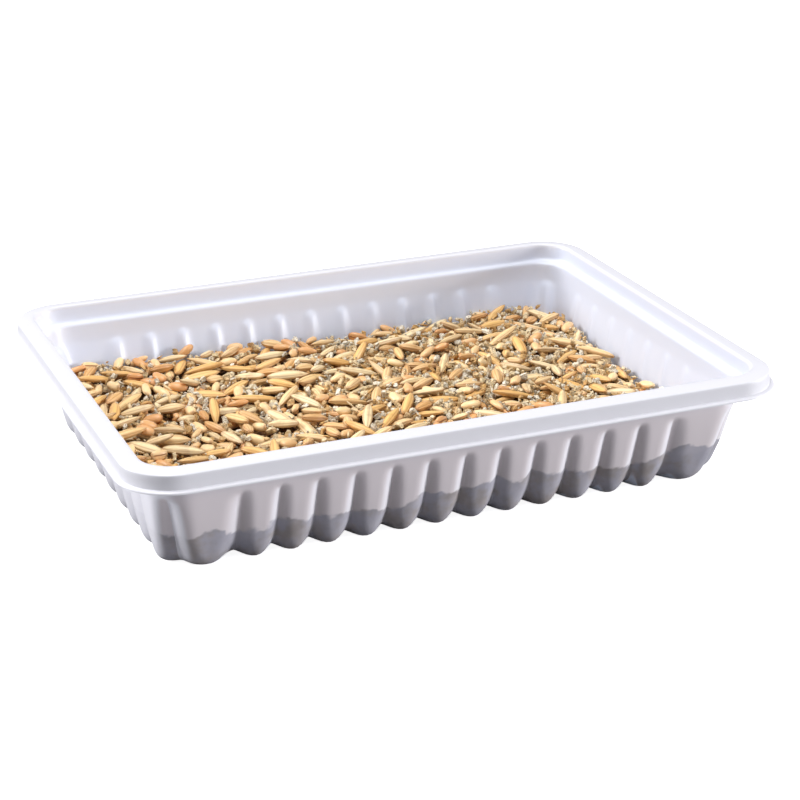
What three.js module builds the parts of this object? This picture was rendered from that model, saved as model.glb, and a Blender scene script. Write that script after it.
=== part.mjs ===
// A wheatgrass tray before it sprouts: a thin white thermoformed tray, filled with a dry mix of
// cereal grains and vermiculite granules.
// Millimetres, +Z up. The long side runs along X, and the origin lies on the surface that the tray
// rests on, under its middle. The surface of the mix is lower at the -Y side.
import * as THREE from "three";

// Driving dimensions of the tray.
const RIM_LENGTH = 180; // over the rim's top edge, along X
const RIM_WIDTH = 135; // the same along Y
const TRAY_HEIGHT = 33;
const SHEET = 0.8; // thickness of the plastic
const RIM_CORNER_RADIUS = 16;
const WALL_CORNER_RADIUS = 9; // the smallest corner, at the foot of the wall
const RIM_TOP_WIDTH = 5; // from the rim's outer edge to its inner edge
const RIM_CROWN = 0.7; // the rim's outer edge is this much lower than its inner edge
const SKIRT_DROP = 4.5; // from the rim's top down to the lip
const SKIRT_FLARE = 0.4;
const LIP_REACH = 1.5; // how far the lip stands out from the rim's outer edge
const LEDGE_DROP = 4.9; // from the rim's top down to the step inside it
const LEDGE_WIDTH = 2.1;
const PANEL_RISE = 1; // the middle of the base is pressed up by this much
const PANEL_INSET = 26; // from the rim's outer edge to the foot of the panel's step
const PANEL_STEP = 1;

// The flutes: grooves pressed into the wall from outside, which show inside as ribs.
const LONG_PITCH = 10.07;
const LONG_GROOVES_HALF = 6; // one groove at the middle, and this many on each side of it
const SHORT_PITCH = 11.3;
const SHORT_GROOVES_HALF = 4; // a lobe at the middle, and this many grooves on each side of it
const GROOVE_TOP_HALF_WIDTH = 2.2;
const SHOULDER = 0.44; // where a groove's flank has its fold, as a share of half the pitch
const CORNER_GROOVE = 0.5; // depth of the one groove in each corner, as a share of the others'

// Levels of the outer wall from the base up. An inset is measured inwards from the rim's outer
// edge, on the long and on the short sides. Depth is how far a groove is pressed in there, and
// spread how far it has widened, from 0 at its top to 1 where neighbouring grooves meet.
const OUTER_LEVELS = [
  { long: 16.2, short: 13.2, z: 0, depth: 5.8, spread: 1 },
  { long: 14.2, short: 11.4, z: 1.1, depth: 4.4, spread: 1 },
  { long: 13.0, short: 10.4, z: 2.4, depth: 2.7, spread: 1 },
  { long: 12.2, short: 9.8, z: 4.5, depth: 2.3, spread: 1 },
  { long: 10.3, short: 8.6, z: 11, depth: 1.9, spread: 0.75 },
  { long: 7.8, short: 7.3, z: 20.8, depth: 0.9, spread: 0.1 },
  { long: 7.35, short: 7.1, z: 22.6, depth: 0, spread: 0 },
];

// Levels of the inner wall from its top down to the floor, one sheet further in.
const WALL_IN = 0.85; // the sheet's thickness measured level, on the sloping wall
const INNER_LEVELS = [
  { long: 7.35 + WALL_IN, short: 7.1 + WALL_IN, z: 22.6, depth: 0, spread: 0 },
  { long: 7.8 + WALL_IN, short: 7.3 + WALL_IN, z: 20.8, depth: 0.9, spread: 0.1 },
  { long: 10.3 + WALL_IN, short: 8.6 + WALL_IN, z: 11, depth: 1.9, spread: 0.75 },
  { long: 12.05 + WALL_IN, short: 9.7 + WALL_IN, z: 5, depth: 2.3, spread: 1 },
  { long: 16.4, short: 13.4, z: SHEET, depth: 5.8, spread: 1 },
];

// Driving dimensions of the mix.
const MIX_GAP = 0.5; // level gap to the tray's wall
const MIX_LIFT = 0.35; // gap to the tray's floor
const MIX_LEVEL = 12.9; // mean height of the surface under the grains
const MIX_SLOPE = 2.2 / 57; // the surface rises towards +Y
const MIX_SWELL = 0.45; // height of its gentle swells
const GRAIN_GAP = 0.3; // between two grains, and between a grain and the edge
const SEED = 20260;

// Kinds of grain. A section is [place along the length, share of the half width]. An upper point
// is [share of the half width across, share of the height].
const GRAINS = [
  {
    name: "oat",
    count: 160,
    length: [10, 12.6],
    width: [2.6, 3.2],
    height: [1.5, 2.2],
    sections: [[-0.27, 0.74], [0, 1], [0.27, 0.7]],
    upper: [[0.12, 1]],
  },
  {
    name: "barley",
    count: 26,
    length: [7.8, 9.2],
    width: [3, 3.5],
    height: [1.8, 2.3],
    sections: [[-0.25, 0.85], [0.25, 0.75]],
    upper: [[-0.4, 0.85], [0.4, 0.95]],
  },
  {
    name: "wheat",
    count: 96,
    length: [6.2, 7.2],
    width: [3.1, 3.6],
    height: [1.9, 2.5],
    sections: [[-0.24, 0.95], [0.24, 0.88]],
    upper: [[-0.45, 0.9], [0.45, 1]],
  },
];
const TILT = 0.09; // the most that a grain's one end is lifted, as a share of its length
const GRANULE_COUNT = 250;
const GRANULE_SIDES = 5;
const GRANULE_RADIUS = [1.1, 1.8];
const GRANULE_HEIGHT = [0.9, 1.8];

const quarterTurn = Math.PI / 2;
const lerp = THREE.MathUtils.lerp;

// A seeded source of random numbers from 0 to 1.
function seededRandom(seed) {
  let state = seed >>> 0;
  return () => {
    state = (state + 0x6d2b79f5) >>> 0;
    let t = Math.imul(state ^ (state >>> 15), 1 | state);
    t = (t + Math.imul(t ^ (t >>> 7), 61 | t)) ^ t;
    return ((t ^ (t >>> 14)) >>> 0) / 4294967296;
  };
}
const random = seededRandom(SEED);
const between = (range) => lerp(range[0], range[1], random());

// Half length, half width and corner radius of the rounded rectangle at a level.
function outlineOf(level) {
  const inset = Math.min(level.long, level.short);
  return {
    a: RIM_LENGTH / 2 - level.short,
    b: RIM_WIDTH / 2 - level.long,
    r: Math.max(WALL_CORNER_RADIUS, RIM_CORNER_RADIUS - inset),
  };
}

// A station is a place on a quarter of the outline, from the middle of the +Y side to the middle
// of the +X side. On the sides it is a length, from the last long groove to the corner and from
// the corner to the last short groove it is a share of that run, and in the corner it is an angle.
const LAST_LONG = LONG_GROOVES_HALF * LONG_PITCH;
const LAST_SHORT = (SHORT_GROOVES_HALF - 0.5) * SHORT_PITCH;

function cornerStations(steps) {
  return Array.from({ length: steps + 1 }, (_, i) => ({
    side: "corner",
    at: (i / steps) * quarterTurn,
  }));
}

function plainStations() {
  return [{ side: "long", at: 0 }, ...cornerStations(6), { side: "short", at: 0 }];
}

function flutedStations(withShoulders) {
  const stations = [];
  const shares = withShoulders ? [0, SHOULDER, 1, 2 - SHOULDER] : [0, 1];
  for (let k = 0; k < LONG_GROOVES_HALF; k += 1) {
    shares.forEach((share) => {
      stations.push({ side: "long", at: (k + share / 2) * LONG_PITCH });
    });
  }
  stations.push({ side: "long", at: LAST_LONG });
  [0.3, 0.65].forEach((at) => stations.push({ side: "long run", at }));
  stations.push(...cornerStations(6));
  stations.push({ side: "short run", at: 0.5 });
  for (let k = SHORT_GROOVES_HALF - 0.5; k > 0; k -= 1) {
    shares.forEach((share) => {
      const at = (k - share / 2) * SHORT_PITCH;
      if (at > -1e-6) stations.push({ side: "short", at });
    });
  }
  return stations;
}

// The bare place of a station on a level, the way out from there, and how far along the wall it
// is to the nearest groove, with half the width of its lobe and the strength of that groove.
function placeOf({ a, b, r }, station) {
  const { side, at } = station;
  const longRun = a - r - LAST_LONG;
  const shortRun = b - r - LAST_SHORT;
  const toCorner = longRun + (r * quarterTurn) / 2;
  const toShort = shortRun + (r * quarterTurn) / 2;
  const nearest = (alongRun, lobe) => ({
    gap: Math.min(alongRun, lobe - alongRun),
    half: lobe / 2,
    strength: alongRun > lobe / 2 ? CORNER_GROOVE : 1,
  });
  const evenly = (length, pitch, shift) => {
    const beyond = Math.abs(length / pitch - shift - Math.round(length / pitch - shift));
    return { gap: beyond * pitch, half: pitch / 2, strength: 1 };
  };
  if (side === "long") {
    const out = new THREE.Vector2(0, 1);
    return { place: new THREE.Vector2(at, b), out, ...evenly(at, LONG_PITCH, 0) };
  }
  if (side === "short") {
    const out = new THREE.Vector2(1, 0);
    return { place: new THREE.Vector2(a, at), out, ...evenly(at, SHORT_PITCH, 0.5) };
  }
  if (side === "long run") {
    const place = new THREE.Vector2(LAST_LONG + at * longRun, b);
    return { place, out: new THREE.Vector2(0, 1), ...nearest(at * longRun, toCorner) };
  }
  if (side === "short run") {
    const place = new THREE.Vector2(a, LAST_SHORT + (1 - at) * shortRun);
    return { place, out: new THREE.Vector2(1, 0), ...nearest((1 - at) * shortRun, toShort) };
  }
  const out = new THREE.Vector2(Math.sin(at), Math.cos(at));
  const place = new THREE.Vector2(a - r, b - r).addScaledVector(out, r);
  const before = at <= quarterTurn / 2;
  const lobe = before ? toCorner : toShort;
  const fromCorner = Math.abs(at - quarterTurn / 2) * r;
  return { place, out, ...nearest(lobe - fromCorner, lobe) };
}

// The point of a level at a station, with the groove pressed in.
function pointAt(level, station) {
  const { place, out, gap, half, strength } = placeOf(outlineOf(level), station);
  const depth = (level.depth ?? 0) * strength;
  const reach = lerp(GROOVE_TOP_HALF_WIDTH, half, level.spread ?? 0);
  place.addScaledVector(out, -depth * Math.max(0, 1 - gap / reach) ** 2);
  return new THREE.Vector3(place.x, place.y, level.z);
}

// A quarter of an outline mirrored to the whole loop, clockwise seen from above.
function loopOf(level, stations) {
  const quarter = stations.map((station) => pointAt(level, station));
  const back = [...quarter].reverse();
  const mirrored = (points, x, y) =>
    points.slice(0, -1).map((p) => new THREE.Vector3(p.x * x, p.y * y, p.z));
  return [
    ...mirrored(quarter, 1, 1),
    ...mirrored(back, 1, -1),
    ...mirrored(quarter, -1, -1),
    ...mirrored(back, -1, 1),
  ];
}

// A closed skin that is built up loop by loop, from the middle of the base outwards and on.
class Skin {
  constructor() {
    this.points = [];
    this.faces = [];
  }

  addPoint(point) {
    this.points.push(point);
    return this.points.length - 1;
  }

  addLoop(loop) {
    return loop.map((point) => this.addPoint(point));
  }

  // How far along the given points each one lies, from 0 to 1.
  shares(indices) {
    const lengths = [0];
    for (let i = 1; i < indices.length; i += 1) {
      const step = this.points[indices[i]].distanceTo(this.points[indices[i - 1]]);
      lengths.push(lengths[i - 1] + step);
    }
    return lengths.map((length) => length / lengths[lengths.length - 1]);
  }

  // Joins two loops quarter by quarter. They may have different numbers of points.
  bridge(lower, upper) {
    for (let q = 0; q < 4; q += 1) {
      const quarterOf = (loop) => {
        const n = loop.length / 4;
        return Array.from({ length: n + 1 }, (_, i) => loop[(q * n + i) % loop.length]);
      };
      const low = quarterOf(lower);
      const high = quarterOf(upper);
      if (low.length === high.length) this.bridgeAlike(low, high);
      else this.bridgeUnlike(low, high);
    }
  }

  // Point to point, each square of the strip split along its shorter diagonal.
  bridgeAlike(low, high) {
    const apart = (i, j) => this.points[i].distanceTo(this.points[j]);
    for (let i = 0; i < low.length - 1; i += 1) {
      const [a, b, c, d] = [low[i], low[i + 1], high[i], high[i + 1]];
      if (apart(b, c) < apart(a, d)) this.faces.push([a, c, b], [b, c, d]);
      else this.faces.push([a, c, d], [a, d, b]);
    }
  }

  // By the share of the way along, for two runs with different numbers of points.
  bridgeUnlike(low, high) {
    const lowShare = this.shares(low);
    const highShare = this.shares(high);
    let i = 0;
    let j = 0;
    while (i < low.length - 1 || j < high.length - 1) {
      const nextLow = i < low.length - 1 ? lowShare[i + 1] : Infinity;
      const nextHigh = j < high.length - 1 ? highShare[j + 1] : Infinity;
      if (nextLow <= nextHigh) {
        this.faces.push([low[i], high[j], low[i + 1]]);
        i += 1;
      } else {
        this.faces.push([low[i], high[j], high[j + 1]]);
        j += 1;
      }
    }
  }

  // Closes a loop by a fan, facing down at the start of the skin and up at its end.
  cap(loop, facing) {
    const middle = this.addPoint(new THREE.Vector3(0, 0, this.points[loop[0]].z));
    loop.forEach((index, i) => {
      const next = loop[(i + 1) % loop.length];
      this.faces.push(facing === "down" ? [middle, index, next] : [middle, next, index]);
    });
  }

  // A point as it lies seen from above.
  flat(index) {
    return new THREE.Vector2(this.points[index].x, this.points[index].y);
  }

  // A sheet between an outer loop and the loops inside it, facing up or down.
  sheet(outer, holes, facing) {
    const indices = [...outer, ...holes.flat()];
    const contour = outer.map((index) => this.flat(index));
    const inner = holes.map((hole) => hole.map((index) => this.flat(index)));
    THREE.ShapeUtils.triangulateShape(contour, inner).forEach((face) => {
      const [a, b, c] = face.map((i) => indices[i]);
      const [p, q, r] = [a, b, c].map((index) => this.flat(index));
      const turnsLeft = q.sub(p).cross(r.sub(p)) > 0;
      this.faces.push(turnsLeft === (facing === "up") ? [a, b, c] : [a, c, b]);
    });
  }

  geometry() {
    const geometry = new THREE.BufferGeometry();
    const flat = this.points.flatMap((p) => [p.x, p.y, p.z]);
    geometry.setAttribute("position", new THREE.Float32BufferAttribute(flat, 3));
    geometry.setIndex(this.faces.flat());
    geometry.computeVertexNormals();
    return geometry;
  }
}

const RIM_STATIONS = plainStations();
const TRAY_STATIONS = flutedStations(true);
const MIX_STATIONS = flutedStations(false);

// Levels of the rim, from the outer wall's top, over the lip and the rim, to the inner ledge.
function rimLevels() {
  const top = TRAY_HEIGHT;
  const ledgeIn = RIM_TOP_WIDTH + 0.5;
  const rows = [
    [ledgeIn + LEDGE_WIDTH - SHEET, top - LEDGE_DROP - SHEET - 0.2],
    [ledgeIn - SHEET, top - LEDGE_DROP - SHEET],
    [RIM_TOP_WIDTH - SHEET + 0.05, top - SHEET - 0.1],
    [SHEET + 0.2, top - RIM_CROWN - SHEET],
    [SHEET - SKIRT_FLARE, top - SKIRT_DROP - SHEET],
    [-LIP_REACH, top - SKIRT_DROP - SHEET],
    [-LIP_REACH, top - SKIRT_DROP],
    [-SKIRT_FLARE, top - SKIRT_DROP + 0.2],
    [0, top - RIM_CROWN - 0.5],
    [0.5, top - RIM_CROWN],
    [RIM_TOP_WIDTH - 0.6, top],
    [RIM_TOP_WIDTH, top - 0.5],
    [ledgeIn, top - LEDGE_DROP],
    [ledgeIn + LEDGE_WIDTH, top - LEDGE_DROP - 0.2],
  ];
  return rows.map(([inset, z]) => ({ long: inset, short: inset, z }));
}

// The foot and the top of the step round the panel in the base, for the surface at height z.
function panelLevels(z, outwards) {
  const foot = PANEL_INSET - outwards;
  return [
    { long: foot, short: foot, z },
    { long: foot + PANEL_STEP, short: foot + PANEL_STEP, z: z + PANEL_RISE },
  ];
}

function trayGeometry() {
  const skin = new Skin();
  const plain = (levels) => levels.map((level) => skin.addLoop(loopOf(level, RIM_STATIONS)));
  const fluted = (levels) => levels.map((level) => skin.addLoop(loopOf(level, TRAY_STATIONS)));
  const base = plain(panelLevels(0, 0).reverse());
  const wall = [...fluted(OUTER_LEVELS), ...plain(rimLevels()), ...fluted(INNER_LEVELS)];
  const floor = plain(panelLevels(SHEET, 0));
  skin.cap(base[0], "down");
  skin.bridge(base[0], base[1]);
  skin.sheet(wall[0], [base[1]], "down");
  for (let i = 1; i < wall.length; i += 1) skin.bridge(wall[i - 1], wall[i]);
  skin.sheet(wall[wall.length - 1], [floor[0]], "up");
  skin.bridge(floor[0], floor[1]);
  skin.cap(floor[1], "up");
  return skin.geometry();
}

// The inner wall's level at any height between its levels, moved in by the mix's gap.
function mixLevelAt(z) {
  const index = INNER_LEVELS.findIndex((level) => level.z <= z);
  const low = INNER_LEVELS[index];
  const high = INNER_LEVELS[index - 1];
  const t = (z - low.z) / (high.z - low.z);
  return {
    long: lerp(low.long, high.long, t) + MIX_GAP,
    short: lerp(low.short, high.short, t) + MIX_GAP,
    depth: lerp(low.depth, high.depth, t),
    spread: 1,
    z,
  };
}

// Height of the mix's surface under its grains.
function mixTop(x, y) {
  const swell = Math.sin(x / 19 + 0.6) * Math.cos(y / 15 - 0.4) + 0.6 * Math.sin((x - y) / 27);
  return MIX_LEVEL + MIX_SLOPE * y + MIX_SWELL * swell;
}

// The circles that cover a footprint, for the test that two of them stay apart.
function circlesAlong(centre, turn, length, profile) {
  const along = new THREE.Vector2(Math.cos(turn), Math.sin(turn));
  return profile.map(([at, radius]) => ({
    centre: centre.clone().addScaledVector(along, at * length),
    radius,
  }));
}

function circlesClear(circles, others, gap) {
  return circles.every((c) =>
    others.every((o) => c.centre.distanceTo(o.centre) > c.radius + o.radius + gap),
  );
}

function distanceToSegment(point, from, to) {
  const edge = to.clone().sub(from);
  const t = THREE.MathUtils.clamp(point.clone().sub(from).dot(edge) / edge.lengthSq(), 0, 1);
  return point.distanceTo(from.clone().addScaledVector(edge, t));
}

function insideBy(circles, contour, gap) {
  return circles.every((c) => {
    const crossings = contour.filter((p, i) => {
      const q = contour[(i + 1) % contour.length];
      const spans = p.y > c.centre.y !== q.y > c.centre.y;
      return spans && c.centre.x < p.x + ((c.centre.y - p.y) / (q.y - p.y)) * (q.x - p.x);
    });
    if (crossings.length % 2 === 0) return false;
    return contour.every((p, i) => {
      const q = contour[(i + 1) % contour.length];
      return distanceToSegment(c.centre, p, q) > c.radius + gap;
    });
  });
}

// One grain as the upper part of a hull: sections of points from its left to its right edge,
// between two tips. The first and last point of a section lie on the mix's surface.
function makeGrain(kind, centre, turn, size) {
  const along = new THREE.Vector2(Math.cos(turn), Math.sin(turn));
  const across = new THREE.Vector2(-along.y, along.x);
  const tilt = (random() * 2 - 1) * TILT;
  const roll = random() * 0.5 - 0.25;
  const place = (at, side, up) => {
    const p = centre.clone().addScaledVector(along, at * size.length);
    p.addScaledVector(across, side * size.width * 0.5);
    const base = mixTop(p.x, p.y) - random() * 0.35;
    const lift = up > 0 ? up * size.height + tilt * at * size.length : 0;
    return new THREE.Vector3(p.x, p.y, base + Math.max(lift, up * 0.7));
  };
  const sections = kind.sections.map(([at, width]) => [
    place(at, -width, 0),
    ...kind.upper.map(([side, up]) => place(at, width * (side + roll * 0.5), up * (0.6 + 0.4 * width))),
    place(at, width, 0),
  ]);
  return { tips: [place(-0.5, 0, 0), place(0.5, 0, 0)], sections };
}

// Adds a grain's faces to the skin, and returns its footprint, anticlockwise seen from above.
function addGrain(skin, grain) {
  const [start, end] = grain.tips.map((tip) => skin.addPoint(tip));
  const sections = grain.sections.map((section) => section.map((p) => skin.addPoint(p)));
  const across = sections[0].length;
  const last = sections.length - 1;
  for (let i = 0; i < across - 1; i += 1) {
    skin.faces.push([start, sections[0][i], sections[0][i + 1]]);
    skin.faces.push([end, sections[last][i + 1], sections[last][i]]);
    for (let s = 0; s < last; s += 1) {
      const [a, b] = [sections[s][i], sections[s][i + 1]];
      const [c, d] = [sections[s + 1][i], sections[s + 1][i + 1]];
      skin.faces.push([a, c, d], [a, d, b]);
    }
  }
  const right = sections.map((section) => section[0]);
  const left = sections.map((section) => section[across - 1]).reverse();
  return [start, ...right, end, ...left];
}

// A granule of vermiculite: a crooked little pyramid.
function addGranule(skin, centre, radius) {
  const turn = random() * Math.PI * 2;
  const ring = [];
  for (let i = 0; i < GRANULE_SIDES; i += 1) {
    const angle = turn + ((i + random() * 0.5) / GRANULE_SIDES) * Math.PI * 2;
    const reach = radius * (0.75 + 0.25 * random());
    const x = centre.x + Math.cos(angle) * reach;
    const y = centre.y + Math.sin(angle) * reach;
    ring.push(skin.addPoint(new THREE.Vector3(x, y, mixTop(x, y) - random() * 0.5)));
  }
  const x = centre.x + (random() - 0.5) * radius * 0.5;
  const y = centre.y + (random() - 0.5) * radius * 0.5;
  const peak = skin.addPoint(new THREE.Vector3(x, y, mixTop(x, y) + between(GRANULE_HEIGHT)));
  ring.forEach((index, i) => skin.faces.push([peak, index, ring[(i + 1) % GRANULE_SIDES]]));
  return ring;
}

// Scatters grains and granules over the surface, none on another, and returns their footprints.
function scatter(skin, contour) {
  const footprints = [];
  const placed = [];
  const span = new THREE.Box2().setFromPoints(contour);
  const somewhere = () =>
    new THREE.Vector2(lerp(span.min.x, span.max.x, random()), lerp(span.min.y, span.max.y, random()));
  const settle = (count, tries, draw, add) => {
    let done = 0;
    for (let i = 0; i < tries && done < count; i += 1) {
      const item = draw();
      const near = placed.filter((o) => o.centre.distanceTo(item.centre) < o.reach + item.reach);
      const clear = near.every((o) => circlesClear(item.circles, o.circles, GRAIN_GAP));
      if (clear && insideBy(item.circles, contour, GRAIN_GAP)) {
        placed.push(item);
        footprints.push(add(item));
        done += 1;
      }
    }
  };
  GRAINS.forEach((kind) => {
    const draw = () => {
      const size = {
        length: between(kind.length),
        width: between(kind.width),
        height: between(kind.height),
      };
      const turn = random() * Math.PI;
      const centre = somewhere();
      const half = size.width / 2;
      const profile = [
        [-0.46, 0.2 * half], [-0.38, 0.5 * half], [-0.27, 0.8 * half], [-0.13, 0.97 * half], [0, half],
        [0.13, 0.97 * half], [0.27, 0.8 * half], [0.38, 0.5 * half], [0.46, 0.2 * half],
      ];
      const circles = circlesAlong(centre, turn, size.length, profile);
      return { centre, turn, size, circles, reach: size.length / 2 + 1 };
    };
    settle(kind.count, kind.count * 60, draw, (item) =>
      addGrain(skin, makeGrain(kind, item.centre, item.turn, item.size)),
    );
  });
  const drawGranule = () => {
    const centre = somewhere();
    const radius = between(GRANULE_RADIUS);
    return { centre, radius, circles: [{ centre, radius }], reach: radius + 1 };
  };
  settle(GRANULE_COUNT, GRANULE_COUNT * 80, drawGranule, (item) =>
    addGranule(skin, item.centre, item.radius),
  );
  return footprints;
}

function mixGeometry() {
  const skin = new Skin();
  const floor = SHEET + MIX_LIFT;
  const plain = (levels) => levels.map((level) => skin.addLoop(loopOf(level, RIM_STATIONS)));
  const bottom = INNER_LEVELS[INNER_LEVELS.length - 1];
  const foot = { ...bottom, long: bottom.long + MIX_GAP, short: bottom.short + MIX_GAP, z: floor };
  const side = mixLevelAt(INNER_LEVELS[3].z + 0.2);
  const rough = loopOf(mixLevelAt(MIX_LEVEL), MIX_STATIONS);
  const edge = rough.map((p) => mixTop(p.x, p.y) + 0.3);
  const levelsUp = edge.map((z) => loopOf(mixLevelAt(z), MIX_STATIONS));
  const top = edge.map((z, i) => levelsUp[i][i]);
  const base = plain(panelLevels(floor, MIX_GAP).reverse());
  const wall = [loopOf(foot, MIX_STATIONS), loopOf(side, MIX_STATIONS), top];
  const loops = wall.map((loop) => skin.addLoop(loop));
  skin.cap(base[0], "down");
  skin.bridge(base[0], base[1]);
  skin.sheet(loops[0], [base[1]], "down");
  skin.bridge(loops[0], loops[1]);
  skin.bridge(loops[1], loops[2]);
  const contour = loops[2].map((index) => skin.flat(index));
  skin.sheet(loops[2], scatter(skin, contour), "up");
  return skin.geometry();
}

// One named mesh with its own finish.
function makeMesh(name, geometry, color, roughness) {
  const material = new THREE.MeshStandardMaterial({ color, roughness, metalness: 0 });
  const mesh = new THREE.Mesh(geometry, material);
  mesh.name = name;
  return mesh;
}

const group = new THREE.Group();
group.add(makeMesh("tray", trayGeometry(), 0xf3f3f8, 0.35));
group.add(makeMesh("seed_mix", mixGeometry(), 0xc79d5e, 0.85));

export default group;
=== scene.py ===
"""The looks of a white plastic tray filled with a dry mix of grains and vermiculite.

Lengths in this script are in millimetres and are turned into metres when a mesh is written.
The origin is the middle of the tray's underside, +X runs along its long side and +Y to its back.
"""

import logging
import math
from collections.abc import Iterator
from contextlib import contextmanager
from dataclasses import dataclass, field
from enum import Enum

import bpy
import numpy as np
from mathutils import Matrix, Vector


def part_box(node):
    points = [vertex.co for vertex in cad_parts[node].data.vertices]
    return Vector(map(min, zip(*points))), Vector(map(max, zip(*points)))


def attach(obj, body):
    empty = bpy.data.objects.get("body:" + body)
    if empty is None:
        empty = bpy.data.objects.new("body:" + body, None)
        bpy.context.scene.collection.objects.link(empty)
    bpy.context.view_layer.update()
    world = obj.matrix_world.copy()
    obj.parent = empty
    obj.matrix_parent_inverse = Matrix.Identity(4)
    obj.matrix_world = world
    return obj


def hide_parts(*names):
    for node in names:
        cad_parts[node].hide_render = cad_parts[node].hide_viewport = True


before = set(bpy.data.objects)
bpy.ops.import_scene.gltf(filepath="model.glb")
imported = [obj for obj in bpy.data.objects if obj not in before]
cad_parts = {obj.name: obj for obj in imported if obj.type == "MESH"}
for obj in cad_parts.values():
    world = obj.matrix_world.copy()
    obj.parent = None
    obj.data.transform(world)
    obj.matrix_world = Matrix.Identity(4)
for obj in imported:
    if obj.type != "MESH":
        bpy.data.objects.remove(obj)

MM = 0.001
SEED = 20260
AIM = (0.0, 0.0, 0.01)

log = logging.getLogger("tray_scene")


def linear(red: float, green: float, blue: float) -> tuple:
    """Turns a screen colour into the linear colour that shaders take.

    Args:
        red: Screen red, 0 to 255.
        green: Screen green, 0 to 255.
        blue: Screen blue, 0 to 255.

    Returns:
        Linear red, green, blue and an alpha of 1.
    """

    def one(value: float) -> float:
        share = value / 255.0
        return share / 12.92 if share <= 0.04045 else ((share + 0.055) / 1.055) ** 2.4

    return (one(red), one(green), one(blue), 1.0)


def smooth_through(keys: list, steps: int) -> np.ndarray:
    """Runs a smooth curve through rows of values.

    Args:
        keys: Rows of values that the curve passes through.
        steps: Rows made for each stretch between two keys.

    Returns:
        The rows of the curve, both ends included.
    """
    rows = np.array(keys, float)
    ends = np.vstack([2 * rows[0] - rows[1], rows, 2 * rows[-1] - rows[-2]])
    made = []
    for i in range(1, len(ends) - 2):
        before, start, stop, after = ends[i - 1 : i + 3]
        for k in range(steps):
            t = k / steps
            made.append(
                0.5
                * (
                    2 * start
                    + (stop - before) * t
                    + (2 * before - 5 * start + 4 * stop - after) * t**2
                    + (3 * start - before - 3 * stop + after) * t**3
                )
            )
    made.append(rows[-1])
    return np.array(made)


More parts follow.
